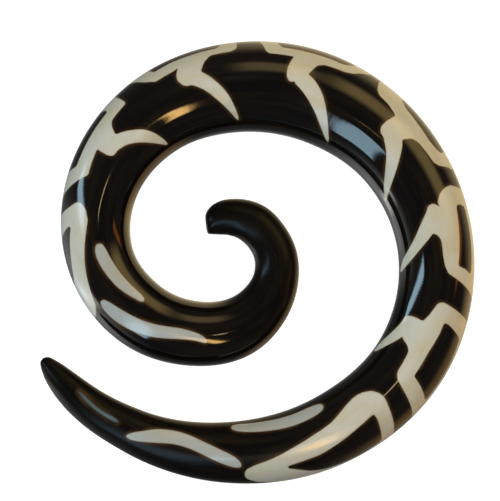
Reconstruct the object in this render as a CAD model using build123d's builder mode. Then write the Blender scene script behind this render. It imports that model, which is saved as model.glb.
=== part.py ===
from build123d import *
import math
import os

os.makedirs("parts", exist_ok=True)

# the spiral lies flat: front face up, its eye near the middle, the curl running clockwise
gauge = 10.0  # diameter of the horn at its thickest, the size the stretched lobe takes
spread = 22.0  # distance from the eye of the spiral to the middle of the horn on the outer turn
fit_gap = 0.05  # clearance left all round an inlay in its pocket
inlay_depth = 0.22  # depth of a ring inlay, as a share of the local radius
depth_step = 0.02  # the neck and the claw are each seated this much shallower than the ring
inlay_rise = 0.10  # share of the local radius an uncut inlay stands proud by before it is dressed flush
turn_step = 20.0  # degrees of turn between two sections of the horn
plate_step = 6.0  # most degrees of turn between two sections of an inlay
edge_step = 30.0  # most degrees about the horn that an edge of an inlay moves between two sections
curve_stops = 8  # spans between the sections of an inlay with a curved outline
moving_stops = 32  # spans such an outline is given while it is moved out by the gap
rim_step = 0.5  # degrees of turn between the spots that the footprint is measured by
nudge = 0.5  # degrees of turn to each side that the heading is taken over
mitre_limit = 0.5  # keeps the moved corner of a sharp bend from running far out

# turn: degrees travelled clockwise from the inner end, 0 lying at the bearing below
first_bearing = 120.0
curl_start = 15.0  # turn where the blunt inner end has opened into the even curl
point_start = 600.0  # turn where the horn begins to draw down to its point
# reach as a share of spread, girth and height as shares of half the gauge
horn_rows = [
    # turn, reach, girth, height
    (-12.6, 0.2156, 0.150, 0.160),
    (-12, 0.2122, 0.198, 0.205),
    (-11, 0.2111, 0.228, 0.240),
    (-9, 0.2105, 0.254, 0.275),
    (-6.3, 0.2093, 0.281, 0.305),
    (-2.4, 0.2071, 0.311, 0.330),
    (2.7, 0.2029, 0.339, 0.350),
    (8, 0.199, 0.361, 0.366),
    (15, 0.1948, 0.381, 0.383),
    (30, 0.1872, 0.410, 0.410),
    (60, 0.1805, 0.451, 0.451),
    (90, 0.180, 0.452, 0.452),
    (120, 0.1987, 0.466, 0.466),
    (150, 0.231, 0.494, 0.494),
    (180, 0.2826, 0.565, 0.565),
    (210, 0.3587, 0.662, 0.662),
    (240, 0.442, 0.709, 0.709),
    (270, 0.556, 0.747, 0.747),
    (300, 0.670, 0.736, 0.736),
    (330, 0.746, 0.792, 0.792),
    (360, 0.7945, 0.889, 0.889),
    (390, 0.8287, 0.974, 0.974),
    (420, 0.881, 0.987, 0.987),
    (450, 0.943, 0.894, 0.894),
    (480, 0.991, 0.824, 0.824),
    (510, 1.008, 0.810, 0.810),
    (540, 0.981, 0.785, 0.785),
    (570, 0.971, 0.674, 0.674),
    (600, 1.0015, 0.492, 0.492),
    (615, 1.035, 0.402, 0.402),
    (622, 1.0505, 0.339, 0.339),
    (627, 1.062, 0.258, 0.258),
    (629.6, 1.0685, 0.185, 0.185),
    (631.2, 1.0725, 0.120, 0.120),
    (631.9, 1.074, 0.060, 0.060),
]

# the two lines along the horn where its faces meet, both clear of the inlays
back_seam = -75.0
inner_seam = 175.0
front_arc = inner_seam - back_seam

# around: degrees about the horn, 0 on the outer rim, 90 on the front face, 180 on the inner rim
# each outline is a row for each place where it bends: turn, back edge, front edge
ring_rows = {
    "band_inlay_inner": [
        (280.5, -8, 14),
        (281.5, -26, 30),
        (284, -39, 43),
        (290, -48, 52),
        (300, -60, 64),
        (307, -66, 72),
        (310, -52, 75),
        (314, 0, 78),
        (318, 40, 73),
        (320, 55, 63),
    ],
    "claw_inlay_1": [
        (320.3, 2, 8),
        (322.3, -10, 21),
        (329.5, -52.5, 63.5),
        (339, -48, 58.5),
        (348, -41, 51),
        (352.5, -38, 48.5),
        (354.2, 16, 48),
        (354.75, 31, 47.5),
        (355.2, 42, 47),
    ],
    "claw_inlay_2": [
        (359.6, 5, 11),
        (360.9, -4, 20),
        (363, -20, 36),
        (366, -32, 48),
        (372.5, -29, 45.5),
        (374, -28, 41),
        (384, -22, 38),
        (390, -20, 37),
        (391.6, -14, 31),
    ],
    "claw_inlay_3": [
        (397.8, 7, 13),
        (398.4, 0, 20),
        (399.6, -19, 39),
        (400.5, -23, 43),
        (416, -24, 44),
        (422.2, -21, 41.5),
        (424.5, -16, 36.5),
        (426, -7, 27),
        (427.5, 0, 20),
        (428.3, 5, 14),
    ],
    "claw_inlay_4": [
        (431.1, 8, 24),
        (431.7, -6, 38),
        (433, -15, 45),
        (436.7, -18, 48),
        (440, -24, 54),
        (449, -24, 54.5),
        (455.8, -20, 51),
        (457.2, -12, 44),
        (458.5, 0, 27.5),
        (459.4, 8, 17),
    ],
    "claw_inlay_5": [
        (462.6, 40, 52),
        (463.2, 33, 62),
        (464.2, 17, 67.5),
        (465.8, -7, 73.5),
        (467.6, -9, 69),
        (470, -9, 76),
        (475.7, -9, 81),
        (480.3, -9, 80.4),
        (483, -8, 78),
        (485, -8, 72.7),
        (488.2, -7, 38),
        (491.4, -6, 2),
    ],
    "claw_inlay_6": [
        (492.8, 73, 79),
        (493.5, 62, 84.5),
        (497.3, -6, 93.3),
        (499.2, -11, 99),
        (508.7, -11, 101),
        (515.7, -10, 98),
        (517.3, -9, 91.5),
        (518.4, -8, 75),
        (520.5, -8, 36.5),
        (522.4, -8, 2),
    ],
    "band_inlay_outer": [
        (523.5, 84, 92),
        (523.9, 77, 98),
        (525, 58, 107),
        (527.1, 22, 113.6),
        (529, -10, 116.4),
        (531.2, -24, 116.4),
        (534, -22, 112.7),
        (540, -18, 101),
        (546.7, -12, 94.5),
        (553.3, -3, 85.5),
        (560, 9, 73.5),
        (564.7, 21, 65.5),
        (567, 33, 58),
        (567.6, 40, 51),
    ],
}
# the plain patch of horn left inside each ring
patch_rows = {
    "band_inlay_inner": [
        (292.5, -4, 8),
        (296, -20, 25),
        (300, -27, 32),
        (303, -30, 36),
        (305, -15, 38),
        (307, 2, 40),
        (309.3, 20, 42),
        (311.7, 39, 45),
    ],
    "claw_inlay_1": [
        (328, 2, 8),
        (330.8, -23, 33.5),
        (346.8, -19, 30.5),
        (348.2, 9, 30.2),
        (349.4, 26, 30),
    ],
    "claw_inlay_2": [
        (366, 4, 14),
        (366.9, -10, 27),
        (372, -8, 24),
        (385.5, -8, 23.5),
        (386.8, 1, 16),
    ],
    "claw_inlay_3": [
        (402.8, 5, 15),
        (404, -7, 27),
        (421, -7, 27),
        (423.4, 4, 17),
    ],
    "claw_inlay_4": [
        (438.3, 9, 16),
        (440.4, -2, 27.3),
        (445, -5, 31.5),
        (450.4, -8, 34.5),
        (453.2, -3, 31),
        (454.6, 4, 25),
    ],
    "claw_inlay_5": [
        (467.9, 34, 42),
        (468.8, 22, 44),
        (477, 22, 51),
        (483, 24, 55.5),
        (483.8, 25, 40),
        (484.8, 26, 31),
    ],
    "claw_inlay_6": [
        (498, 60, 66.5),
        (500.8, 21, 67.6),
        (506.6, 18, 72.7),
        (513.9, 18, 73),
        (514.9, 18, 54),
        (516.7, 19, 25),
    ],
    "band_inlay_outer": [
        (528.7, 67, 76.5),
        (531.2, 18, 75),
        (536, 12, 70.5),
        (540, 13, 66.4),
        (546.7, 20, 59.5),
        (550.3, 30, 58.3),
        (553, 41, 57),
        (556, 51, 54.5),
    ],
}
# the neck that joins each ring to its claw
neck_rows = {
    "claw_inlay_1": [
        (338.4, 62, 79),
        (339.1, 50, 86),
        (341, 46, 88.5),
        (345.7, 44, 72),
        (347, 43, 58),
        (348.3, 42, 51),
    ],
    "claw_inlay_2": [
        (372.2, 56, 64),
        (373.2, 46, 72),
        (374.2, 36, 75),
        (376, 34, 75.5),
        (379.8, 32, 62),
        (381.6, 32, 47.5),
        (383.6, 32, 38.5),
    ],
    "claw_inlay_3": [
        (406.3, 62, 73),
        (407.2, 47, 79.5),
        (408.5, 38, 80.5),
        (412.9, 36, 63.5),
        (414.4, 36, 49),
        (416, 36, 44.5),
    ],
    "claw_inlay_4": [
        (438.8, 70, 81),
        (439.9, 52, 87),
        (442, 46, 88.5),
        (445.7, 46, 71.5),
        (447.2, 46, 59),
        (448.8, 46, 55),
    ],
    "claw_inlay_5": [
        (465.4, 79, 85),
        (465.9, 76, 89.5),
        (467.6, 67, 94),
        (470, 64, 96),
        (473.7, 68, 90.5),
        (474.4, 72, 84.5),
        (475.7, 74, 81.5),
    ],
    "claw_inlay_6": [
        (498.8, 111, 124),
        (499.4, 94, 128),
        (502, 92, 128),
        (506.4, 90, 119),
        (507.4, 90, 108),
        (508.7, 90, 101.5),
    ],
}
# the claw, running on from the neck across the front face to its point
claw_rows = {
    "claw_inlay_1": [
        (341.6, 72, 87.3),
        (345.7, 71, 94),
        (350, 82.5, 108),
        (354, 96.5, 125.5),
        (356.4, 112.5, 137.3),
        (357.6, 129.5, 140),
    ],
    "claw_inlay_2": [
        (376, 60, 75.8),
        (379.8, 61.5, 88),
        (384, 79.5, 107),
        (387.4, 99, 124.3),
        (389.2, 117, 135.8),
        (390.1, 129.5, 138.5),
    ],
    "claw_inlay_3": [
        (409.2, 66, 80.5),
        (412.9, 65.5, 90.5),
        (418, 81.3, 107.5),
        (422.2, 103.3, 124.2),
        (425.6, 125.5, 138.5),
        (427.4, 139.5, 144.5),
    ],
    "claw_inlay_4": [
        (441.6, 74, 88.7),
        (445.7, 72, 101.2),
        (450, 94.3, 119.3),
        (454.6, 122, 139),
        (458.8, 148, 152),
    ],
    "claw_inlay_5": [
        (467.2, 84, 93.8),
        (470.8, 80, 109),
        (473.7, 92, 120),
        (477.1, 111, 134.8),
        (481.6, 135.5, 156.5),
        (485, 158, 166),
    ],
    "claw_inlay_6": [
        (499.2, 123, 130),
        (502.1, 114.5, 134.5),
        (506.4, 122.5, 146),
        (511.2, 141, 161.5),
        (515, 157.5, 167),
    ],
}
# loose strokes, not joined to a ring
stroke_rows = {
    "stroke_inlay_1": [
        (229.6, 74, 79),
        (231.5, 73.5, 85),
        (235, 77, 91),
        (241, 78.3, 95),
        (247, 76, 96),
        (254, 70.5, 92.8),
        (262, 62.7, 87),
        (270, 55.3, 80.8),
        (276, 51, 75.5),
        (281.5, 50.5, 69),
        (284, 54, 63),
    ],
    "stroke_inlay_2": [
        (270.8, 109, 114),
        (272.3, 106.3, 117),
        (276, 103.3, 117.8),
        (284, 95.3, 115.3),
        (292, 89.5, 111.7),
        (299, 85, 107),
        (302.6, 85.3, 103.3),
        (304.8, 89, 99),
    ],
    "stroke_inlay_3": [
        (539.9, 131, 138),
        (541, 126.5, 143.5),
        (544.5, 123, 147.3),
        (552, 121.3, 147),
        (560, 124.6, 150.3),
        (566, 129, 153.7),
        (569.8, 134.5, 154.5),
        (571.2, 141, 150),
    ],
    "stroke_inlay_4": [
        (568.3, 62, 71),
        (570.2, 61.3, 83),
        (575, 72, 98),
        (580, 85, 111.2),
        (584.5, 93, 121.8),
        (589, 93.2, 125.6),
        (594, 83, 118),
        (598, 72, 100),
        (600.2, 67.5, 87),
        (601.4, 69, 76),
    ],
    "stroke_inlay_5": [
        (604.6, 91, 97),
        (606, 87.5, 103.5),
        (610, 87.3, 103.3),
        (614, 89.4, 106.7),
        (617, 94, 111.5),
        (619.3, 101, 110),
    ],
}


def smooth(rows, column, turn):
    # value of one column at any turn, on an even curve through the rows
    place = 0
    while place < len(rows) - 2 and rows[place + 1][0] <= turn:
        place += 1
    here, there = rows[place], rows[place + 1]
    before, after = rows[max(place - 1, 0)], rows[min(place + 2, len(rows) - 1)]
    span = there[0] - here[0]
    part = (turn - here[0]) / span
    slope_here = (there[column] - before[column]) / (there[0] - before[0]) * span
    slope_there = (after[column] - here[column]) / (after[0] - here[0]) * span
    rise = there[column] - here[column]
    bend = 3 * rise - 2 * slope_here - slope_there
    twist = slope_here + slope_there - 2 * rise
    return here[column] + part * (slope_here + part * (bend + part * twist))


def radius_at(turn):
    return smooth(horn_rows, 2, turn) * gauge / 2


def eye_offset(turn):
    reach = smooth(horn_rows, 1, turn) * spread
    bearing = math.radians(first_bearing - turn)
    return Vector(reach * math.cos(bearing), reach * math.sin(bearing))


def heading_at(turn):
    # the sections of the inner end all stand the same way, so it stops in a blunt face
    turn = max(turn, curl_start)
    return (eye_offset(turn + nudge) - eye_offset(turn - nudge)).normalized()


def outward_at(turn):
    return heading_at(turn).rotate(Axis.Z, 90)


# the whole piece is set over the middle of its footprint, its lowest point on the floor
rim_turns = [rim_step * step for step in range(int(horn_rows[-1][0] / rim_step))]
rim = [eye_offset(turn) + outward_at(turn) * radius_at(turn) for turn in rim_turns]
eye = Vector(
    -(max(spot.X for spot in rim) + min(spot.X for spot in rim)) / 2,
    -(max(spot.Y for spot in rim) + min(spot.Y for spot in rim)) / 2,
    max(radius_at(turn) for turn in rim_turns),
)


def section_plane(turn):
    # x points out from the spiral and y points up
    return Plane(eye + eye_offset(turn), x_dir=outward_at(turn), z_dir=heading_at(turn))


# every row at the two ends, and evenly spaced sections from the one to the other
body_turns = [row[0] for row in horn_rows if row[0] < curl_start or row[0] > point_start]
body_count = math.ceil((point_start - curl_start) / turn_step)
body_turns += [curl_start + turn_step * step for step in range(body_count)]

with BuildPart() as blank:
    for turn in sorted(body_turns):
        girth, height = radius_at(turn), smooth(horn_rows, 3, turn) * gauge / 2
        with BuildSketch(section_plane(turn)):
            with BuildLine():
                EllipticalCenterArc((0, 0), girth, height, back_seam, arc_size=front_arc)
                EllipticalCenterArc((0, 0), girth, height, inner_seam, arc_size=360 - front_arc)
            make_face()
    loft()


def grown(rows, gap):
    # the same outline moved out by the gap on every side, or in where the gap is negative
    middle = (rows[0][0] + rows[-1][0]) / 2
    along = (eye_offset(middle + nudge) - eye_offset(middle - nudge)).length / (2 * nudge)
    about = radius_at(middle) * math.radians(1)
    loop = [(turn * along, back * about) for turn, back, front in rows]
    loop += [(turn * along, front * about) for turn, back, front in reversed(rows)]
    moved = []
    for place, spot in enumerate(loop):
        normals = []
        for start, end in ((loop[place - 1], spot), (spot, loop[(place + 1) % len(loop)])):
            across, up = end[0] - start[0], end[1] - start[1]
            size = math.hypot(across, up)
            normals.append((up / size, -across / size))
        (east, north), (east_next, north_next) = normals
        likeness = east * east_next + north * north_next
        spare = gap / max(1 + likeness, mitre_limit)
        turn = (spot[0] + (east + east_next) * spare) / along
        around = (spot[1] + (north + north_next) * spare) / about
        moved.append((turn, around, likeness))
    backs, fronts = moved[: len(rows)], moved[: len(rows) - 1 : -1]
    # each row stays with whichever of its two corners is the sharper
    turns = [min(pair, key=lambda spot: spot[2])[0] for pair in zip(backs, fronts)]
    return [(turn, level(backs, turn), level(fronts, turn)) for turn in turns]


def level(line, turn):
    # height of a bent line at one turn
    for (left, low, _), (right, high, _) in zip(line, line[1:]):
        if turn <= right:
            break
    return low + (high - low) * (turn - left) / (right - left)


def stations(rows):
    # the rows with more set between them where they stand far apart or an edge moves far
    stops = [rows[0]]
    for row in rows[1:]:
        last = stops[-1]
        sway = max(abs(row[1] - last[1]), abs(row[2] - last[2]))
        steps = math.ceil(max((row[0] - last[0]) / plate_step, sway / edge_step))
        for step in range(1, steps + 1):
            stops.append(tuple(a + (b - a) * step / steps for a, b in zip(last, row)))
    return stops


def plate(rows, depth, rise, gap):
    # a slab bent round the horn, its edges square to the surface
    with BuildPart() as slab:
        for turn, back, front in rows:
            inner = radius_at(turn) * (1 - depth) - gap
            outer = radius_at(turn) * (1 + rise)
            with BuildSketch(section_plane(turn)):
                with BuildLine():
                    low = CenterArc((0, 0), inner, back, front - back)
                    high = CenterArc((0, 0), outer, back, front - back)
                    Line(low @ 0, high @ 0)
                    Line(low @ 1, high @ 1)
                make_face()
        loft(ruled=True)
    return slab.part


def spaced(first, last, count):
    # turns from first to last, closer together towards both ends
    shares = [(1 - math.cos(math.pi * place / count)) / 2 for place in range(count + 1)]
    return [first + (last - first) * share for share in shares]


def curved(rows, gap):
    # an even curve through the rows moved out by the gap, for outlines without corners
    fine = [
        (turn, smooth(rows, 1, turn), smooth(rows, 2, turn))
        for turn in spaced(rows[0][0], rows[-1][0], moving_stops)
    ]
    moved = grown(fine, gap)
    swapped = [(turn, front, back) for turn, back, front in moved]
    return [
        (turn, level(moved, turn), level(swapped, turn))
        for turn in spaced(moved[0][0], moved[-1][0], curve_stops)
    ]


def inlay_shape(name, gap):
    # one whole inlay, or with a gap the pocket it sits in
    with BuildPart() as shape:
        if name in ring_rows:
            add(plate(stations(grown(ring_rows[name], gap)), inlay_depth, inlay_rise, gap))
            # the patch is cut deeper and prouder than the ring, so it goes right through it
            patch = stations(grown(patch_rows[name], -gap))
            add(plate(patch, inlay_depth * 2, inlay_rise * 2, 0), mode=Mode.SUBTRACT)
        if name in neck_rows:
            neck = stations(grown(neck_rows[name], gap))
            add(plate(neck, inlay_depth - depth_step, inlay_rise + depth_step, gap))
            claw = curved(claw_rows[name], gap)
            add(plate(claw, inlay_depth - depth_step * 2, inlay_rise + depth_step * 2, gap))
        if name in stroke_rows:
            add(plate(curved(stroke_rows[name], gap), inlay_depth, inlay_rise, gap))
    return shape.part


inlay_names = list(ring_rows) + list(stroke_rows)
for name in inlay_names:
    with BuildPart() as inlay:
        add(inlay_shape(name, 0))
        add(blank.part, mode=Mode.INTERSECT)
    inlay.part.label = name
    export_step(inlay.part, f"parts/{name}.step")

pockets = [inlay_shape(name, fit_gap) for name in inlay_names]
with BuildPart() as horn_spiral:
    add(blank.part)
    add(pockets, mode=Mode.SUBTRACT)
horn_spiral.part.label = "horn_spiral"
export_step(horn_spiral.part, "parts/horn_spiral.step")
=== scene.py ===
import math
import bpy
import numpy as np
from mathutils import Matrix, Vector
from mathutils.geometry import delaunay_2d_cdt
from mathutils.kdtree import KDTree


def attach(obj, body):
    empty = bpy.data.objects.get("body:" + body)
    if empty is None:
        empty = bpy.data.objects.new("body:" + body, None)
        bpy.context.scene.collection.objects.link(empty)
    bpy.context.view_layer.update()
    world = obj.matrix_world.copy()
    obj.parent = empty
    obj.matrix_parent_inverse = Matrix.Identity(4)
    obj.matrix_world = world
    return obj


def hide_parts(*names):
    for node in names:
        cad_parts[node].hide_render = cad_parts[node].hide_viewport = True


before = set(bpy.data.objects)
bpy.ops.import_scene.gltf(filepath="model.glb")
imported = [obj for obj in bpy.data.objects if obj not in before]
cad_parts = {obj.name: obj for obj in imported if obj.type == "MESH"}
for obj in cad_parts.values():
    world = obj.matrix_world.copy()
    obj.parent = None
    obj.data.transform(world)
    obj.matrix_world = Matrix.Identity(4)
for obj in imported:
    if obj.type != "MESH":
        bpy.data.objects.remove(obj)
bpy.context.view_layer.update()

print("stage: frame loaded")

mm = 0.001  # the tables are in millimetres, the scene is in metres

# the horn: turn is degrees round the curl from the inner end,
# reach is a share of spread, girth and height are shares of half the gauge
horn = {
    "node": "horn_spiral",
    "gauge": 10.0,
    "spread": 22.0,
    "firstBearing": 120.0,
    "curlStart": 15.0,          # turn up to which the sections of the inner end stand the same way
    "endRounds": (0.05, 0.22),  # how far the inner end and the point are rounded over
    "pocketFloor": 0.78,        # share of the radius that the pockets are cut down to
    "middlePoints": 2600,       # places that the middle line is worked out at
    "rows": [  # turn, reach, girth, height
        (-12.6, 0.2156, 0.15, 0.16), (-12, 0.2122, 0.198, 0.205),
        (-11, 0.2111, 0.228, 0.24), (-9, 0.2105, 0.254, 0.275),
        (-6.3, 0.2093, 0.281, 0.305), (-2.4, 0.2071, 0.311, 0.33),
        (2.7, 0.2029, 0.339, 0.35), (8, 0.199, 0.361, 0.366), (15, 0.1948, 0.381, 0.383),
        (30, 0.1872, 0.41, 0.41), (60, 0.1805, 0.451, 0.451), (90, 0.18, 0.452, 0.452),
        (120, 0.1987, 0.466, 0.466), (150, 0.231, 0.494, 0.494),
        (180, 0.2826, 0.565, 0.565), (210, 0.3587, 0.662, 0.662),
        (240, 0.442, 0.709, 0.709), (270, 0.556, 0.747, 0.747), (300, 0.67, 0.736, 0.736),
        (330, 0.746, 0.792, 0.792), (360, 0.7945, 0.889, 0.889),
        (390, 0.8287, 0.974, 0.974), (420, 0.881, 0.987, 0.987),
        (450, 0.943, 0.894, 0.894), (480, 0.991, 0.824, 0.824), (510, 1.008, 0.81, 0.81),
        (540, 0.981, 0.785, 0.785), (570, 0.971, 0.674, 0.674),
        (600, 1.0015, 0.492, 0.492), (615, 1.035, 0.402, 0.402),
        (622, 1.0505, 0.339, 0.339), (627, 1.062, 0.258, 0.258),
        (629.6, 1.0685, 0.185, 0.185), (631.2, 1.0725, 0.12, 0.12),
        (631.9, 1.074, 0.06, 0.06),
    ],
}

# the inlays: each row is turn, back edge, front edge, in degrees about the horn
# with 0 on the outer rim, 90 on the front face and 180 on the inner rim
bandInlayInner = {
    "node": "band_inlay_inner",
    "ring": [
        (280.5, -8, 14), (281.5, -26, 30), (284, -39, 43), (290, -48, 52), (300, -60, 64),
        (307, -66, 72), (310, -52, 75), (314, 0, 78), (318, 40, 73), (320, 55, 63),
    ],
    "patch": [
        (292.5, -4, 8), (296, -20, 25), (300, -27, 32), (303, -30, 36), (305, -15, 38),
        (307, 2, 40), (309.3, 20, 42), (311.7, 39, 45),
    ],
}
clawInlay1 = {
    "node": "claw_inlay_1",
    "ring": [
        (320.3, 2, 8), (322.3, -10, 21), (329.5, -52.5, 63.5), (339, -48, 58.5),
        (348, -41, 51), (352.5, -38, 48.5), (354.2, 16, 48), (354.75, 31, 47.5),
        (355.2, 42, 47),
    ],
    "patch": [
        (328, 2, 8), (330.8, -23, 33.5), (346.8, -19, 30.5), (348.2, 9, 30.2),
        (349.4, 26, 30),
    ],
    "neck": [
        (338.4, 62, 79), (339.1, 50, 86), (341, 46, 88.5), (345.7, 44, 72), (347, 43, 58),
        (348.3, 42, 51),
    ],
    "claw": [
        (341.6, 72, 87.3), (345.7, 71, 94), (350, 82.5, 108), (354, 96.5, 125.5),
        (356.4, 112.5, 137.3), (357.6, 129.5, 140),
    ],
}
clawInlay2 = {
    "node": "claw_inlay_2",
    "ring": [
        (359.6, 5, 11), (360.9, -4, 20), (363, -20, 36), (366, -32, 48),
        (372.5, -29, 45.5), (374, -28, 41), (384, -22, 38), (390, -20, 37),
        (391.6, -14, 31),
    ],
    "patch": [
        (366, 4, 14), (366.9, -10, 27), (372, -8, 24), (385.5, -8, 23.5), (386.8, 1, 16),
    ],
    "neck": [
        (372.2, 56, 64), (373.2, 46, 72), (374.2, 36, 75), (376, 34, 75.5),
        (379.8, 32, 62), (381.6, 32, 47.5), (383.6, 32, 38.5),
    ],
    "claw": [
        (376, 60, 75.8), (379.8, 61.5, 88), (384, 79.5, 107), (387.4, 99, 124.3),
        (389.2, 117, 135.8), (390.1, 129.5, 138.5),
    ],
}
clawInlay3 = {
    "node": "claw_inlay_3",
    "ring": [
        (397.8, 7, 13), (398.4, 0, 20), (399.6, -19, 39), (400.5, -23, 43), (416, -24, 44),
        (422.2, -21, 41.5), (424.5, -16, 36.5), (426, -7, 27), (427.5, 0, 20),
        (428.3, 5, 14),
    ],
    "patch": [
        (402.8, 5, 15), (404, -7, 27), (421, -7, 27), (423.4, 4, 17),
    ],
    "neck": [
        (406.3, 62, 73), (407.2, 47, 79.5), (408.5, 38, 80.5), (412.9, 36, 63.5),
        (414.4, 36, 49), (416, 36, 44.5),
    ],
    "claw": [
        (409.2, 66, 80.5), (412.9, 65.5, 90.5), (418, 81.3, 107.5), (422.2, 103.3, 124.2),
        (425.6, 125.5, 138.5), (427.4, 139.5, 144.5),
    ],
}
clawInlay4 = {
    "node": "claw_inlay_4",
    "ring": [
        (431.1, 8, 24), (431.7, -6, 38), (433, -15, 45), (436.7, -18, 48), (440, -24, 54),
        (449, -24, 54.5), (455.8, -20, 51), (457.2, -12, 44), (458.5, 0, 27.5),
        (459.4, 8, 17),
    ],
    "patch": [
        (438.3, 9, 16), (440.4, -2, 27.3), (445, -5, 31.5), (450.4, -8, 34.5),
        (453.2, -3, 31), (454.6, 4, 25),
    ],
    "neck": [
        (438.8, 70, 81), (439.9, 52, 87), (442, 46, 88.5), (445.7, 46, 71.5),
        (447.2, 46, 59), (448.8, 46, 55),
    ],
    "claw": [
        (441.6, 74, 88.7), (445.7, 72, 101.2), (450, 94.3, 119.3), (454.6, 122, 139),
        (458.8, 148, 152),
    ],
}
clawInlay5 = {
    "node": "claw_inlay_5",
    "ring": [
        (462.6, 40, 52), (463.2, 33, 62), (464.2, 17, 67.5), (465.8, -7, 73.5),
        (467.6, -9, 69), (470, -9, 76), (475.7, -9, 81), (480.3, -9, 80.4), (483, -8, 78),
        (485, -8, 72.7), (488.2, -7, 38), (491.4, -6, 2),
    ],
    "patch": [
        (467.9, 34, 42), (468.8, 22, 44), (477, 22, 51), (483, 24, 55.5), (483.8, 25, 40),
        (484.8, 26, 31),
    ],
    "neck": [
        (465.4, 79, 85), (465.9, 76, 89.5), (467.6, 67, 94), (470, 64, 96),
        (473.7, 68, 90.5), (474.4, 72, 84.5), (475.7, 74, 81.5),
    ],
    "claw": [
        (467.2, 84, 93.8), (470.8, 80, 109), (473.7, 92, 120), (477.1, 111, 134.8),
        (481.6, 135.5, 156.5), (485, 158, 166),
    ],
}
clawInlay6 = {
    "node": "claw_inlay_6",
    "ring": [
        (492.8, 73, 79), (493.5, 62, 84.5), (497.3, -6, 93.3), (499.2, -11, 99),
        (508.7, -11, 101), (515.7, -10, 98), (517.3, -9, 91.5), (518.4, -8, 75),
        (520.5, -8, 36.5), (522.4, -8, 2),
    ],
    "patch": [
        (498, 60, 66.5), (500.8, 21, 67.6), (506.6, 18, 72.7), (513.9, 18, 73),
        (514.9, 18, 54), (516.7, 19, 25),
    ],
    "neck": [
        (498.8, 111, 124), (499.4, 94, 128), (502, 92, 128), (506.4, 90, 119),
        (507.4, 90, 108), (508.7, 90, 101.5),
    ],
    "claw": [
        (499.2, 123, 130), (502.1, 114.5, 134.5), (506.4, 122.5, 146), (511.2, 141, 161.5),
        (515, 157.5, 167),
    ],
}
bandInlayOuter = {
    "node": "band_inlay_outer",
    "ring": [
        (523.5, 84, 92), (523.9, 77, 98), (525, 58, 107), (527.1, 22, 113.6),
        (529, -10, 116.4), (531.2, -24, 116.4), (534, -22, 112.7), (540, -18, 101),
        (546.7, -12, 94.5), (553.3, -3, 85.5), (560, 9, 73.5), (564.7, 21, 65.5),
        (567, 33, 58), (567.6, 40, 51),
    ],
    "patch": [
        (528.7, 67, 76.5), (531.2, 18, 75), (536, 12, 70.5), (540, 13, 66.4),
        (546.7, 20, 59.5), (550.3, 30, 58.3), (553, 41, 57), (556, 51, 54.5),
    ],
}
strokeInlay1 = {
    "node": "stroke_inlay_1",
    "stroke": [
        (229.6, 74, 79), (231.5, 73.5, 85), (235, 77, 91), (241, 78.3, 95), (247, 76, 96),
        (254, 70.5, 92.8), (262, 62.7, 87), (270, 55.3, 80.8), (276, 51, 75.5),
        (281.5, 50.5, 69), (284, 54, 63),
    ],
}
strokeInlay2 = {
    "node": "stroke_inlay_2",
    "stroke": [
        (270.8, 109, 114), (272.3, 106.3, 117), (276, 103.3, 117.8), (284, 95.3, 115.3),
        (292, 89.5, 111.7), (299, 85, 107), (302.6, 85.3, 103.3), (304.8, 89, 99),
    ],
}
strokeInlay3 = {
    "node": "stroke_inlay_3",
    "stroke": [
        (539.9, 131, 138), (541, 126.5, 143.5), (544.5, 123, 147.3), (552, 121.3, 147),
        (560, 124.6, 150.3), (566, 129, 153.7), (569.8, 134.5, 154.5), (571.2, 141, 150),
    ],
}
strokeInlay4 = {
    "node": "stroke_inlay_4",
    "stroke": [
        (568.3, 62, 71), (570.2, 61.3, 83), (575, 72, 98), (580, 85, 111.2),
        (584.5, 93, 121.8), (589, 93.2, 125.6), (594, 83, 118), (598, 72, 100),
        (600.2, 67.5, 87), (601.4, 69, 76),
    ],
}
strokeInlay5 = {
    "node": "stroke_inlay_5",
    "stroke": [
        (604.6, 91, 97), (606, 87.5, 103.5), (610, 87.3, 103.3), (614, 89.4, 106.7),
        (617, 94, 111.5), (619.3, 101, 110),
    ],
}

inlays = [
    bandInlayInner, clawInlay1, clawInlay2, clawInlay3, clawInlay4, clawInlay5, clawInlay6,
    bandInlayOuter, strokeInlay1, strokeInlay2, strokeInlay3, strokeInlay4, strokeInlay5,
]

inlayFinish = {
    "bottom": 0.785,      # share of the radius that an inlay reaches down to
    "curveStops": 28,     # spans along each edge of a curved outline
    "outlineStep": 0.11,  # between the points of an outline
    "leastArea": 0.02,    # square millimetres, smaller loops are only slivers
    "softening": 5,       # passes that round the corners a little, as a file leaves them
}


def evenValue(rows, column, turn):
    # one column at any turn, on an even curve through the rows
    place = 0
    while place < len(rows) - 2 and rows[place + 1][0] <= turn:
        place += 1
    here, there = rows[place], rows[place + 1]
    before, after = rows[max(place - 1, 0)], rows[min(place + 2, len(rows) - 1)]
    span = there[0] - here[0]
    part = (turn - here[0]) / span
    slopeHere = (there[column] - before[column]) / (there[0] - before[0]) * span
    slopeThere = (after[column] - here[column]) / (after[0] - here[0]) * span
    rise = there[column] - here[column]
    bend = 3 * rise - 2 * slopeHere - slopeThere
    twist = slopeHere + slopeThere - 2 * rise
    return here[column] + part * (slopeHere + part * (bend + part * twist))


def middleAt(turn):
    reach = evenValue(horn["rows"], 1, turn) * horn["spread"]
    bearing = math.radians(horn["firstBearing"] - turn)
    return np.array([reach * math.cos(bearing), reach * math.sin(bearing)])


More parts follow.
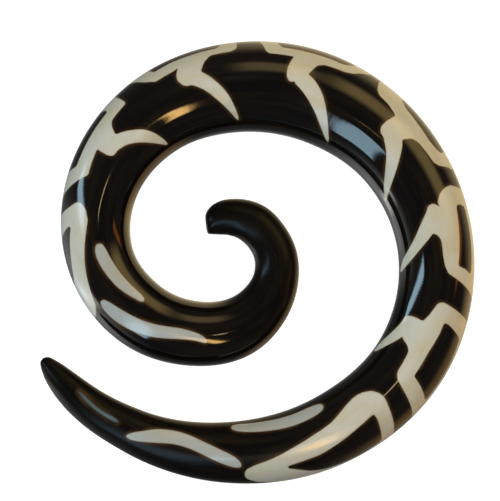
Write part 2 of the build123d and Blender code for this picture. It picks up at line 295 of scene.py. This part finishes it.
# the middle line of the horn in close steps, with what stands on it
firstTurn, lastTurn = horn["rows"][0][0], horn["rows"][-1][0]
turns = np.linspace(firstTurn, lastTurn, horn["middlePoints"])
middles = np.array([middleAt(turn) for turn in turns])
girths = np.array([evenValue(horn["rows"], 2, turn) for turn in turns]) * horn["gauge"] / 2
heights = np.array([evenValue(horn["rows"], 3, turn) for turn in turns]) * horn["gauge"] / 2
headings = np.gradient(middles, turns, axis=0)
headings /= np.linalg.norm(headings, axis=1)[:, None]
curlSpot = np.searchsorted(turns, horn["curlStart"])
headings[:curlSpot] = headings[curlSpot]
outwards = np.stack([-headings[:, 1], headings[:, 0]], axis=1)
lengths = np.concatenate([[0], np.cumsum(np.linalg.norm(np.diff(middles, axis=0), axis=1))])
fullLength = lengths[-1]

# the horn is set over the middle of its footprint, its lowest point on the floor
rims = middles + outwards * girths[:, None]
eye = np.array([
    -(rims[:, 0].max() + rims[:, 0].min()) / 2,
    -(rims[:, 1].max() + rims[:, 1].min()) / 2,
    girths.max(),
])


def turnAt(along):
    return np.interp(along, lengths, turns)


def alongAt(turn):
    return np.interp(turn, turns, lengths)


def radiusAt(turn):
    return float(np.interp(turn, turns, girths))


def surface(along, around, share=1.0):
    # places on the horn, or at a share of its radius, in metres
    turn = np.interp(along, lengths, turns)
    angle = np.radians(around)
    innerRound, pointRound = horn["endRounds"]
    near = np.clip(np.minimum(along / innerRound, (fullLength - along) / pointRound), 0, 1)
    rounded = np.sqrt(np.clip(1 - (1 - near) ** 2, 0, 1)) * share
    out = np.interp(turn, turns, girths) * np.cos(angle) * rounded
    up = np.interp(turn, turns, heights) * np.sin(angle) * rounded
    x, y = (
        eye[k] + np.interp(turn, turns, middles[:, k]) + np.interp(turn, turns, outwards[:, k]) * out
        for k in (0, 1)
    )
    return np.stack([x, y, eye[2] + up], axis=1) * mm


def surfaceNormals(along, around):
    # square to the skin, from its slope along and about the horn
    step, turnStep, endRoom = 0.02, 0.5, 0.005
    low, high = np.clip(along - step, 0, fullLength), np.clip(along + step, 0, fullLength)
    run = surface(high, around) - surface(low, around)
    along = np.clip(along, endRoom, fullLength - endRoom)
    sweep = surface(along, around + turnStep) - surface(along, around - turnStep)
    normals = np.cross(sweep, run)
    return normals / np.maximum(np.linalg.norm(normals, axis=1), 1e-15)[:, None]


# the outlines of the inlays, as loops of turn and degrees about the horn
def sharpLoop(rows):
    return [(row[0], row[1]) for row in rows] + [(row[0], row[2]) for row in reversed(rows)]


def curvedLoop(rows):
    # the same with an even curve along both edges
    first, last, count = rows[0][0], rows[-1][0], inlayFinish["curveStops"]
    shares = [(1 - math.cos(math.pi * k / count)) / 2 for k in range(count + 1)]
    stops = [first + (last - first) * share for share in shares]
    backs = [(turn, evenValue(rows, 1, turn)) for turn in stops]
    return backs + [(turn, evenValue(rows, 2, turn)) for turn in reversed(stops)]


def edgeLoops(triangles):
    # chains the edges that only one triangle has into closed loops
    directed = {(tri[k], tri[(k + 1) % 3]) for tri in triangles for k in range(3)}
    following = {}
    for start, end in directed:
        if (end, start) not in directed:
            following.setdefault(start, []).append(end)
    loops = []
    while following:
        start = min(following)
        loop, spot = [], start
        while spot in following:
            loop.append(spot)
            ends = following[spot]
            ahead = ends.pop()
            if not ends:
                del following[spot]
            spot = ahead
        loops.append(loop)
    return loops


def respaced(loop, step):
    # the same closed line with points at even spacing
    closed = np.vstack([loop, loop[:1]])
    run = np.concatenate([[0], np.cumsum(np.linalg.norm(np.diff(closed, axis=0), axis=1))])
    count = max(int(run[-1] / step), 12)
    stops = np.linspace(0, run[-1], count, endpoint=False)
    return np.stack([np.interp(stops, run, closed[:, k]) for k in (0, 1)], axis=1)


def softened(loop, passes):
    for _ in range(passes):
        loop = loop * 0.5 + (np.roll(loop, 1, axis=0) + np.roll(loop, -1, axis=0)) * 0.25
    return loop


def outlinesOf(piece):
    # the outer outline of the whole inlay, and the window in its ring, each with its area
    if "stroke" in piece:
        solids, window = [curvedLoop(piece["stroke"])], None
    else:
        solids, window = [sharpLoop(piece["ring"])], sharpLoop(piece["patch"])
        if "neck" in piece:
            solids += [sharpLoop(piece["neck"]), curvedLoop(piece["claw"])]
    everything = solids + ([window] if window else [])
    middle = np.mean([spot[0] for spot in solids[0]])
    scale = np.array([
        (alongAt(middle + 1) - alongAt(middle - 1)) / 2,
        radiusAt(middle) * math.radians(1),
    ])
    points, faces = [], []
    for loop in everything:
        faces.append(list(range(len(points), len(points) + len(loop))))
        points += [Vector(np.array(spot) * scale) for spot in loop]
    result = delaunay_2d_cdt(points, [], faces, 0, 1e-5)
    spots, triangles, origins = result[0], result[2], result[5]
    windowFace = len(solids) if window else -1
    kept = []
    for triangle, origin in zip(triangles, origins):
        inRing = 0 in origin and windowFace not in origin
        if inRing or any(0 < face < len(solids) for face in origin):
            kept.append(triangle)
    loops = []
    for chain in edgeLoops(kept):
        line = respaced(np.array([spots[k][:] for k in chain]), inlayFinish["outlineStep"])
        nextX, nextY = np.roll(line, -1, axis=0).T
        area = np.sum(line[:, 0] * nextY - line[:, 1] * nextX) / 2
        if abs(area) > inlayFinish["leastArea"]:
            loops.append((area, softened(line, inlayFinish["softening"]) / scale))
    return loops


# one flat net of points for the whole skin, in which every outline is an edge
net = {
    "seam": -100.0,            # where the skin is joined, on the back, clear of the inlays
    "radius": 4.0,             # that the skin is laid flat at, near enough for the net
    "alongStep": 0.27,
    "aroundPoints": 112,       # once about the horn
    "besides": (0.09, 0.22),   # lines of points kept beside an outline, for the stain there
    "besideRoom": 0.075,       # least room about a point there
    "evenRoom": 0.14,          # about the other points
    "endRoom": 0.004,          # and close to the two ends
    "cell": 0.3,               # of the grid that near points are looked up in
    "roundAngles": (0, 18, 36, 54, 72, 90),  # stations over a rounded end
    "firstStride": 0.05,       # past it, growing up to the even step
    "strideGrowth": 1.3,
}
aboutScale = math.radians(net["radius"])
firstSeam, lastSeam = net["seam"] * aboutScale, (net["seam"] + 360) * aboutScale
netPoints, netEdges, netFaces, faceOwners = [], [], [], []
taken = {}


def cellOf(x, y):
    return int(x / net["cell"]), int(y / net["cell"])


def hasRoom(x, y, gap):
    # true where no point lies nearer than the gap
    column, row = cellOf(x, y)
    for i in (column - 1, column, column + 1):
        for j in (row - 1, row, row + 1):
            for px, py in taken.get((i, j), ()):
                if (px - x) ** 2 + (py - y) ** 2 < gap * gap:
                    return False
    return True


def take(x, y):
    taken.setdefault(cellOf(x, y), []).append((x, y))
    netPoints.append((x, y))
    return len(netPoints) - 1


def endSteps(rounded):
    # close together over the rounded end, then opening out to the even spacing
    steps = [rounded * (1 - math.cos(math.radians(angle))) for angle in net["roundAngles"]]
    stride = net["firstStride"]
    while stride < net["alongStep"]:
        steps.append(steps[-1] + stride)
        stride *= net["strideGrowth"]
    return steps


innerSteps, pointSteps = (endSteps(rounded) for rounded in horn["endRounds"])
evenStart, evenEnd = innerSteps[-1], fullLength - pointSteps[-1]
rowCount = int((evenEnd - evenStart) / net["alongStep"])
stations = innerSteps[:-1] + list(np.linspace(evenStart, evenEnd, rowCount))
stations += [fullLength - step for step in reversed(pointSteps[:-1])]
seamPairs = [(take(along, firstSeam), take(along, lastSeam)) for along in stations]
for (low, high), (nextLow, nextHigh) in zip(seamPairs, seamPairs[1:]):
    netEdges += [(low, nextLow), (high, nextHigh)]

besides = []
for number, piece in enumerate(inlays):
    for area, loop in outlinesOf(piece):
        flat = np.stack([alongAt(loop[:, 0]), loop[:, 1] * aboutScale], axis=1)
        indices = [take(x, y) for x, y in flat]
        netFaces.append(indices if area > 0 else indices[::-1])
        faceOwners.append((number, area > 0))
        ahead = np.roll(flat, -1, axis=0) - np.roll(flat, 1, axis=0)
        ahead /= np.maximum(np.linalg.norm(ahead, axis=1), 1e-9)[:, None]
        side = np.stack([-ahead[:, 1], ahead[:, 0]], axis=1)
        for distance in net["besides"]:
            besides += list(flat + side * distance) + list(flat - side * distance)
for x, y in besides:
    if hasRoom(x, y, net["besideRoom"]):
        take(x, y)
for along in stations[1:-1]:
    room = net["evenRoom"] if evenStart <= along <= evenEnd else net["endRoom"]
    for k in range(1, net["aroundPoints"]):
        y = firstSeam + (lastSeam - firstSeam) * k / net["aroundPoints"]
        if hasRoom(along, y, room):
            take(along, y)
print("stage: net laid out,", len(netPoints), "points")

result = delaunay_2d_cdt([Vector(spot) for spot in netPoints], netEdges, netFaces, 0, 1e-7)
netSpots = np.array([spot[:] for spot in result[0]])
owners = []
for origin in result[5]:
    owner = -1
    for face in origin:
        number, solid = faceOwners[face]
        if solid and owner == -1:
            owner = number
    for face in origin:
        if not faceOwners[face][1]:
            owner = -1
    owners.append(owner)
# the two sides of the seam, and each closed end, become the same points
sameAs = list(range(len(netSpots)))
lowSeam, highSeam = {}, {}
for index, (x, y) in enumerate(netSpots):
    if abs(y - firstSeam) < 1e-6:
        lowSeam[round(x, 5)] = index
    elif abs(y - lastSeam) < 1e-6:
        highSeam[round(x, 5)] = index
for x, index in highSeam.items():
    sameAs[index] = lowSeam[x]
for end in (0.0, fullLength):
    ring = [index for index, (x, y) in enumerate(netSpots) if abs(x - end) < 1e-6]
    for index in ring:
        sameAs[index] = min(ring)
netTriangles, netOwners = [], []
for triangle, owner in zip(result[2], owners):
    corners = [sameAs[k] for k in reversed(triangle)]  # turned to face outwards
    if len(set(corners)) == 3:
        netTriangles.append(corners)
        netOwners.append(owner)
print("stage: net joined,", len(netTriangles), "triangles")

# places on the skin, under it and beside the outlines
netAlong, netAround = netSpots[:, 0], netSpots[:, 1] / aboutScale
skinPlaces = surface(netAlong, netAround)
skinNormals = surfaceNormals(netAlong, netAround)
floorPlaces = surface(netAlong, netAround, horn["pocketFloor"])
bottomPlaces = surface(netAlong, netAround, inlayFinish["bottom"])
edgeOwner = {}
for triangle, owner in zip(netTriangles, netOwners):
    for k in range(3):
        edgeOwner[(triangle[k], triangle[(k + 1) % 3])] = owner
outlinePoints = set()
wallEdges = []  # seen from the inlay: start, end and the inlay's number
for (start, end), owner in edgeOwner.items():
    across = edgeOwner.get((end, start), owner)
    if owner >= 0 and across != owner:
        wallEdges.append((start, end, owner))
        outlinePoints.update((start, end))
nearest = KDTree(len(outlinePoints))
for index in outlinePoints:
    nearest.insert(skinPlaces[index], index)
nearest.balance()
toOutline = np.array([nearest.find(spot)[2] for spot in skinPlaces]) / mm
straightAngles = np.radians(netAround)
straightRadius = np.interp(turnAt(netAlong), turns, girths)
straightPlaces = np.stack(
    [netAlong, straightRadius * np.cos(straightAngles), straightRadius * np.sin(straightAngles)], axis=1
)


def buildPiece(name, skinFaces, lowFaces, wallFaces, lowPlaces):
    # a closed mesh; corners past the net's own count stand on the low places
    count = len(netSpots)
    faces = skinFaces + [[k + count for k in face] for face in lowFaces] + wallFaces
    used = sorted({k for face in faces for k in face})
    renumber = {old: new for new, old in enumerate(used)}
    places = np.vstack([skinPlaces, lowPlaces])
    mesh = bpy.data.meshes.new(name)
    mesh.from_pydata([places[k] for k in used], [], [[renumber[k] for k in face] for face in faces])
    mesh.update()
    mesh.shade_smooth()
    faceNormals = np.zeros(len(mesh.polygons) * 3)
    mesh.polygons.foreach_get("normal", faceNormals)
    faceNormals = faceNormals.reshape(-1, 3)
    loopNormals = []
    for number, face in enumerate(faces):
        for k in face:
            ownNormal = skinNormals[k] if number < len(skinFaces) else faceNormals[number]
            loopNormals.append(tuple(ownNormal))
    mesh.normals_split_custom_set(loopNormals)
    straight = mesh.attributes.new("straightPlace", "FLOAT_VECTOR", "POINT")
    straight.data.foreach_set("vector", straightPlaces[[k % count for k in used]].ravel())
    rim = mesh.attributes.new("toOutline", "FLOAT", "POINT")
    rim.data.foreach_set("value", [toOutline[k] if k < count else 0.0 for k in used])
    shape = bpy.data.objects.new(name, mesh)
    bpy.context.collection.objects.link(shape)
    return shape


netCount = len(netSpots)
hornSpiral = buildPiece(
    "hornSpiral",
    [face for face, owner in zip(netTriangles, netOwners) if owner < 0],
    [face for face, owner in zip(netTriangles, netOwners) if owner >= 0],
    [[start, end, end + netCount, start + netCount] for start, end, owner in wallEdges],
    floorPlaces,
)
inlayShapes = []
for number, piece in enumerate(inlays):
    ownFaces = [face for face, owner in zip(netTriangles, netOwners) if owner == number]
    inlayShapes.append(buildPiece(
        piece["node"] + "_bone",
        ownFaces,
        [face[::-1] for face in ownFaces],
        [[end, start, start + netCount, end + netCount]
         for start, end, owner in wallEdges if owner == number],
        bottomPlaces,
    ))
print("stage: horn and", len(inlayShapes), "inlays built")


# materials
def addNode(tree, kind, inputs=None, **settings):
    made = tree.nodes.new(kind)
    for key, value in settings.items():
        setattr(made, key, value)
    for key, value in (inputs or {}).items():
        if isinstance(value, bpy.types.NodeSocket):
            tree.links.new(value, made.inputs[key])
        else:
            made.inputs[key].default_value = value
    return made


def addRamp(tree, factor, stops):
    ramp = addNode(tree, "ShaderNodeValToRGB", {"Fac": factor})
    while len(ramp.color_ramp.elements) < len(stops):
        ramp.color_ramp.elements.new(0.5)
    for element, (place, colour) in zip(ramp.color_ramp.elements, stops):
        element.position = place
        element.color = colour if len(colour) == 4 else (*colour, 1)
    return ramp.outputs["Color"]


def stretchedNoise(tree, places, stretch, detail=3.0, roughness=0.5, scale=1.0):
    moved = addNode(tree, "ShaderNodeVectorMath", {0: places, 1: stretch}, operation="MULTIPLY")
    noise = addNode(tree, "ShaderNodeTexNoise", {
        "Vector": moved.outputs["Vector"], "Scale": scale, "Detail": detail, "Roughness": roughness,
    })
    return noise.outputs["Fac"]


def mixColours(tree, factor, first, second, blend="MIX"):
    mix = addNode(tree, "ShaderNodeMix", data_type="RGBA", blend_type=blend)
    for socket, value in ((mix.inputs[0], factor), (mix.inputs[6], first), (mix.inputs[7], second)):
        if isinstance(value, bpy.types.NodeSocket):
            tree.links.new(value, socket)
        else:
            socket.default_value = value
    return mix.outputs[2]


def newMaterial(name, look):
    material = bpy.data.materials.new(name)
    material.use_nodes = True
    tree = material.node_tree
    tree.nodes.clear()
    shader = addNode(tree, "ShaderNodeBsdfPrincipled", {
        "IOR": look["ior"], "Roughness": look["roughness"],
    })
    addNode(tree, "ShaderNodeOutputMaterial", {"Surface": shader.outputs["BSDF"]})
    straight = addNode(tree, "ShaderNodeAttribute", attribute_name="straightPlace")
    rim = addNode(tree, "ShaderNodeAttribute", attribute_name="toOutline")
    return material, tree, shader, straight.outputs["Vector"], rim.outputs["Fac"]


hornLook = {
    "deep": (0.0026, 0.0021, 0.0022),    # the black of the polished horn
    "streak": (0.0075, 0.0055, 0.0036),  # brown fibres that run along it
    "stain": (0.045, 0.022, 0.007),      # amber where it thins beside an inlay
    "stainWidth": 0.42,                  # millimetres
    "ior": 1.54,
    "roughness": 0.055,
    "shine": 0.5,
    "dullRoughness": 0.27,               # towards both ends, which are less polished
    "dullShine": 0.10,
    "innerDull": (9.0, 24.0),            # millimetres from the inner end over which that fades
    "pointDull": (44.0, 24.0),           # and from the point over which it grows
    "ridges": 0.0000016,                 # metres, left across the horn by the polishing
    "waves": 0.0000060,
}
hornMaterial, tree, shader, straight, rim = newMaterial("polishedHorn", hornLook)
fibres = stretchedNoise(tree, straight, (0.10, 1.3, 1.3), 4.0, 0.6)
base = addRamp(tree, fibres, [(0.42, hornLook["deep"]), (0.72, hornLook["streak"])])
fade = addNode(tree, "ShaderNodeMapRange", {
    "Value": rim, "From Min": 0.0, "From Max": hornLook["stainWidth"], "To Min": 1.0, "To Max": 0.0,
}, interpolation_type="SMOOTHSTEP")
patches = addNode(tree, "ShaderNodeMapRange", {
    "Value": stretchedNoise(tree, straight, (0.5, 0.5, 0.5), 2.0), "From Min": 0.35, "From Max": 0.65,
    "To Min": 0.25, "To Max": 1.0,
})
stain = addNode(tree, "ShaderNodeMath", {
    0: fade.outputs[0], 1: patches.outputs[0],
}, operation="MULTIPLY")
base = mixColours(tree, stain.outputs[0], base, (*hornLook["stain"], 1))
tree.links.new(base, shader.inputs["Base Color"])
alongHorn = addNode(tree, "ShaderNodeSeparateXYZ", {0: straight}).outputs["X"]
innerDull = addNode(tree, "ShaderNodeMapRange", {
    "Value": alongHorn, "From Min": hornLook["innerDull"][0], "From Max": hornLook["innerDull"][1],
    "To Min": 1.0, "To Max": 0.0,
}, interpolation_type="SMOOTHSTEP")
pointDull = addNode(tree, "ShaderNodeMapRange", {
    "Value": alongHorn, "From Min": fullLength - hornLook["pointDull"][0],
    "From Max": fullLength - hornLook["pointDull"][1],
}, interpolation_type="SMOOTHSTEP")
dull = addNode(tree, "ShaderNodeMath", {
    0: innerDull.outputs[0], 1: pointDull.outputs[0],
}, operation="MAXIMUM")
for socket, polished, worn in (("Roughness", hornLook["roughness"], hornLook["dullRoughness"]),
                               ("Specular IOR Level", hornLook["shine"], hornLook["dullShine"])):
    blended = addNode(tree, "ShaderNodeMapRange", {
        "Value": dull.outputs[0], "To Min": polished, "To Max": worn,
    })
    tree.links.new(blended.outputs[0], shader.inputs[socket])
waves = addNode(tree, "ShaderNodeBump", {
    "Height": stretchedNoise(tree, straight, (0.35, 0.8, 0.8), 1.0), "Strength": 1.0,
    "Distance": hornLook["waves"],
})
ridges = addNode(tree, "ShaderNodeBump", {
    "Height": stretchedNoise(tree, straight, (5.0, 0.5, 0.5), 2.0, 0.6), "Strength": 1.0,
    "Distance": hornLook["ridges"], "Normal": waves.outputs["Normal"],
})
tree.links.new(ridges.outputs["Normal"], shader.inputs["Normal"])

boneLook = {
    "pale": (0.44, 0.435, 0.40),
    "cream": (0.42, 0.39, 0.30),     # clouds of older, yellower bone
    "rim": (0.30, 0.26, 0.18),       # where it thins out at its outline
    "rimWidth": 0.14,                # millimetres
    "fleck": (0.34, 0.29, 0.19),     # small pores, drawn out along the horn
    "ior": 1.54,
    "roughness": 0.16,
    "grain": 0.0000012,              # metres
    "depth": 0.12,                   # share of the light that goes into the bone
    "depthReach": (0.0006, 0.0004, 0.0002),
}
strokeLook = {**boneLook, "pale": (0.31, 0.325, 0.325), "cream": (0.30, 0.305, 0.29),
              "rim": (0.20, 0.18, 0.14)}
# the last stroke is worn so thin that the horn shows through it, and the bluish tint in its colours is
# a painted reflection of a window
wornLookWithPaintedReflection = {**boneLook, "pale": (0.085, 0.120, 0.135), "cream": (0.070, 0.098, 0.108),
            "rim": (0.012, 0.012, 0.012), "rimWidth": 0.30, "fleck": (0.05, 0.05, 0.05)}


def boneMaterial(name, look):
    material, tree, shader, straight, rim = newMaterial(name, look)
    clouds = stretchedNoise(tree, straight, (0.35, 0.6, 0.6), 3.0, 0.55)
    base = addRamp(tree, clouds, [(0.38, look["pale"]), (0.68, look["cream"])])
    pores = stretchedNoise(tree, straight, (1.2, 5.0, 5.0), 2.0, 0.5)
    poreMask = addNode(tree, "ShaderNodeMapRange", {
        "Value": pores, "From Min": 0.66, "From Max": 0.76, "To Min": 0.0, "To Max": 0.5,
    })
    base = mixColours(tree, poreMask.outputs[0], base, (*look["fleck"], 1))
    fade = addNode(tree, "ShaderNodeMapRange", {
        "Value": rim, "From Min": 0.0, "From Max": look["rimWidth"], "To Min": 1.0, "To Max": 0.0,
    }, interpolation_type="SMOOTHSTEP")
    base = mixColours(tree, fade.outputs[0], base, (*look["rim"], 1))
    tree.links.new(base, shader.inputs["Base Color"])
    grain = addNode(tree, "ShaderNodeBump", {
        "Height": stretchedNoise(tree, straight, (3.0, 1.5, 1.5), 2.0), "Strength": 1.0,
        "Distance": look["grain"],
    })
    tree.links.new(grain.outputs["Normal"], shader.inputs["Normal"])
    shader.inputs["Subsurface Weight"].default_value = look["depth"]
    shader.inputs["Subsurface Radius"].default_value = look["depthReach"]
    shader.inputs["Subsurface Scale"].default_value = 1.0
    return material


fullBone = boneMaterial("polishedBone", boneLook)
strokeBone = boneMaterial("strokeBone", strokeLook)
# the worn bone's bluish tint is a painted reflection of a window, on top of its darker worn colour
wornBoneWithPaintedReflection = boneMaterial("wornBoneWithPaintedReflection", wornLookWithPaintedReflection)

hornSpiral.data.materials.append(hornMaterial)
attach(hornSpiral, "root")
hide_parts(horn["node"])
for shape, piece in zip(inlayShapes, inlays):
    if piece is strokeInlay5:
        shape.data.materials.append(wornBoneWithPaintedReflection)
    else:
        shape.data.materials.append(strokeBone if "stroke" in piece else fullBone)
    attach(shape, "root")
    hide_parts(piece["node"])
print("stage: materials on")

# floor
floorLook = {"size": 3.0, "colour": (0.35, 0.35, 0.35), "glow": 0.86, "roughness": 0.7, "shine": 0.1}
half = floorLook["size"] / 2
floorMesh = bpy.data.meshes.new("floor")
floorCorners = [(-half, -half, 0), (half, -half, 0), (half, half, 0), (-half, half, 0)]
floorMesh.from_pydata(floorCorners, [], [(0, 1, 2, 3)])
floor = bpy.data.objects.new("floor", floorMesh)
bpy.context.collection.objects.link(floor)
floorMaterial = bpy.data.materials.new("paleFloor")
floorMaterial.use_nodes = True
floorShader = floorMaterial.node_tree.nodes["Principled BSDF"]
floorShader.inputs["Base Color"].default_value = (*floorLook["colour"], 1)
floorShader.inputs["Roughness"].default_value = floorLook["roughness"]
floorShader.inputs["Specular IOR Level"].default_value = floorLook["shine"]
floorShader.inputs["Emission Color"].default_value = (1, 1, 1, 1)
floorShader.inputs["Emission Strength"].default_value = floorLook["glow"]
floor.data.materials.append(floorMaterial)
floor.visible_glossy = False  # the horn mirrors and is lit by the soft room instead
floor.visible_diffuse = False



def addLamp(name, width, height, power, colour):
    data = bpy.data.lights.new(name, "AREA")
    data.shape = "RECTANGLE"
    data.size, data.size_y = width, height
    data.energy, data.color = power, colour
    lamp = bpy.data.objects.new(name, data)
    lamp.visible_camera = False
    bpy.context.collection.objects.link(lamp)
    return lamp


# lights, by their bearing round the horn: 0 is to the right of the picture, 90 to its top
lights = {
    "ceiling": {"toward": 80, "tilt": 10, "away": 0.50, "width": 0.60, "height": 0.60,
                "power": 2.1, "colour": (1.0, 0.985, 0.92)},
    "warmFill": {"toward": 5, "tilt": 74, "away": 0.50, "width": 0.50, "height": 0.26,
                 "power": 0.40, "colour": (1.0, 0.72, 0.26)},
    "topFill": {"toward": 75, "tilt": 74, "away": 0.50, "width": 0.40, "height": 0.26,
                "power": 0.45, "colour": (1.0, 0.88, 0.48)},
    "coolFill": {"toward": 190, "tilt": 72, "away": 0.50, "width": 0.40, "height": 0.26,
                 "power": 0.7, "colour": (0.78, 0.92, 1.0)},
}
target = Vector((eye[0] * mm, eye[1] * mm, horn["gauge"] / 2 * mm))
for name, light in lights.items():
    bearing, tilt = math.radians(light["toward"]), math.radians(light["tilt"])
    flat = math.sin(tilt)
    way = Vector((flat * math.cos(bearing), flat * math.sin(bearing), math.cos(tilt)))
    lamp = addLamp(name, light["width"], light["height"], light["power"], light["colour"])
    lamp.location = target + way * light["away"]
    lamp.rotation_mode = "QUATERNION"
    lamp.rotation_quaternion = way.to_track_quat("Z", "Y")
    lamp.visible_glossy = False

# a small lamp high above that only shows in the polish
highLamp = {"at": (36.0, -36.0, 360.0), "width": 16.0, "height": 22.0, "power": 0.0085,
            "colour": (1.0, 0.72, 0.36)}
lamp = addLamp("highLamp", highLamp["width"] * mm, highLamp["height"] * mm,
               highLamp["power"], highLamp["colour"])
lamp.location = [value * mm for value in highLamp["at"]]
lamp.visible_diffuse = False

# the room that the polish mirrors: brightness by height, from -1 below to 1 above
roomLevels = [(-1.0, 0.34), (-0.90, 0.26), (-0.70, 0.10), (0.0, 0.06), (0.75, 0.05), (1.0, 0.035)]
# bright places in it: bearing and height of the middle, half sizes, lean and softness, in degrees
roomPlaces = {
    "tallWindow": {"toward": -119.5, "up": 47, "wide": 8, "high": 21, "lean": 0.15, "soft": 2.5,
                   "colour": (3.3, 5.0, 6.2)},
    "bulb": {"toward": -78, "up": 64, "wide": 4.5, "high": 11, "lean": -0.45, "soft": 5,
             "colour": (16.0, 9.5, 3.2)},
    "sideWindow": {"toward": 173, "up": 30, "wide": 4.5, "high": 20, "lean": 0.50, "soft": 4,
                   "colour": (4.4, 6.6, 8.0)},
    "doorway": {"toward": -149, "up": -14, "wide": 4.0, "high": 24, "lean": 0.11, "soft": 6,
                "colour": (2.6, 2.5, 2.4)},
    "leftWall": {"toward": -152, "up": -22, "wide": 26, "high": 28, "lean": 0, "soft": 36,
                 "colour": (1.15, 1.15, 1.15)},
    "tanWall": {"toward": 38, "up": 33, "wide": 26, "high": 15, "lean": 0, "soft": 18,
                "colour": (2.0, 1.40, 0.50)},
    "farWall": {"toward": 84, "up": 37, "wide": 13, "high": 11, "lean": 0, "soft": 12,
                "colour": (1.25, 0.93, 0.40)},
    "glowStrip": {"toward": 4, "up": 12, "wide": 3.5, "high": 16, "lean": -0.55, "soft": 5,
                  "colour": (1.9, 0.55, 0.04)},
    "lowAmber": {"toward": -32, "up": -34, "wide": 30, "high": 22, "lean": 0, "soft": 24,
                 "colour": (0.60, 0.34, 0.10)},
    "lowRight": {"toward": 42, "up": -48, "wide": 60, "high": 30, "lean": 0, "soft": 34,
                 "colour": (0.85, 0.64, 0.30)},
}
world = bpy.data.worlds.new("softRoom")
bpy.context.scene.world = world
world.use_nodes = True
roomTree = world.node_tree
background = roomTree.nodes["Background"]
direction = addNode(roomTree, "ShaderNodeTexCoord").outputs["Generated"]
way = addNode(roomTree, "ShaderNodeSeparateXYZ", {0: direction}).outputs
upShare = addNode(roomTree, "ShaderNodeMapRange", {
    "Value": way["Z"], "From Min": -1.0, "From Max": 1.0,
}).outputs[0]
room = addRamp(roomTree, upShare, [
    ((height + 1) / 2, (level, level, level)) for height, level in roomLevels
])


def calculated(operation, *values):
    made = addNode(roomTree, "ShaderNodeMath", dict(enumerate(values)), operation=operation)
    return made.outputs[0]


def within(offset, halfSize, soft):
    # 1 inside the half size, fading to 0 over the softness
    return addNode(roomTree, "ShaderNodeMapRange", {
        "Value": calculated("ABSOLUTE", offset),
        "From Min": halfSize + soft / 2, "From Max": halfSize - soft / 2,
    }, interpolation_type="SMOOTHSTEP").outputs[0]


upAngle = calculated("DEGREES", calculated("ARCSINE", way["Z"]))
for place in roomPlaces.values():
    # the bearing is taken from the middle of the place, so that it never wraps there
    middle = math.radians(place["toward"])
    ahead = calculated("ADD", calculated("MULTIPLY", way["X"], math.cos(middle)),
                       calculated("MULTIPLY", way["Y"], math.sin(middle)))
    aside = calculated("SUBTRACT", calculated("MULTIPLY", way["Y"], math.cos(middle)),
                       calculated("MULTIPLY", way["X"], math.sin(middle)))
    bearing = calculated("DEGREES", calculated("ARCTAN2", aside, ahead))
    rise = calculated("SUBTRACT", upAngle, place["up"])
    bearing = calculated("SUBTRACT", bearing, calculated("MULTIPLY", rise, place["lean"]))
    inside = calculated("MULTIPLY", within(bearing, place["wide"], place["soft"]),
                        within(rise, place["high"], place["soft"]))
    lit = mixColours(roomTree, inside, (0, 0, 0, 1), (*place["colour"], 1))
    room = mixColours(roomTree, 1.0, room, lit, "ADD")
roomTree.links.new(room, background.inputs["Color"])
background.inputs["Strength"].default_value = 1.0

# camera straight above, as the picture was taken
cameraView = {
    "over": (-0.796, 1.297),
    "level": 4.97,      # of the horn's middle, where the frame's width is taken
    "height": 1500.0,   # above that
    "frame": 54.35,     # width that the picture shows there
    "sensor": 36.0,
    "clip": (0.01, 20.0),
}
cameraData = bpy.data.cameras.new("camera")
cameraData.sensor_width = cameraView["sensor"]
cameraData.lens = cameraView["sensor"] * cameraView["height"] / cameraView["frame"]
cameraData.clip_start, cameraData.clip_end = cameraView["clip"]
camera = bpy.data.objects.new("camera", cameraData)
overX, overY = cameraView["over"]
camera.location = (overX * mm, overY * mm, (cameraView["level"] + cameraView["height"]) * mm)
bpy.context.collection.objects.link(camera)
bpy.context.scene.camera = camera
bpy.context.scene.view_settings.view_transform = "Standard"
print("stage: lights and camera set")
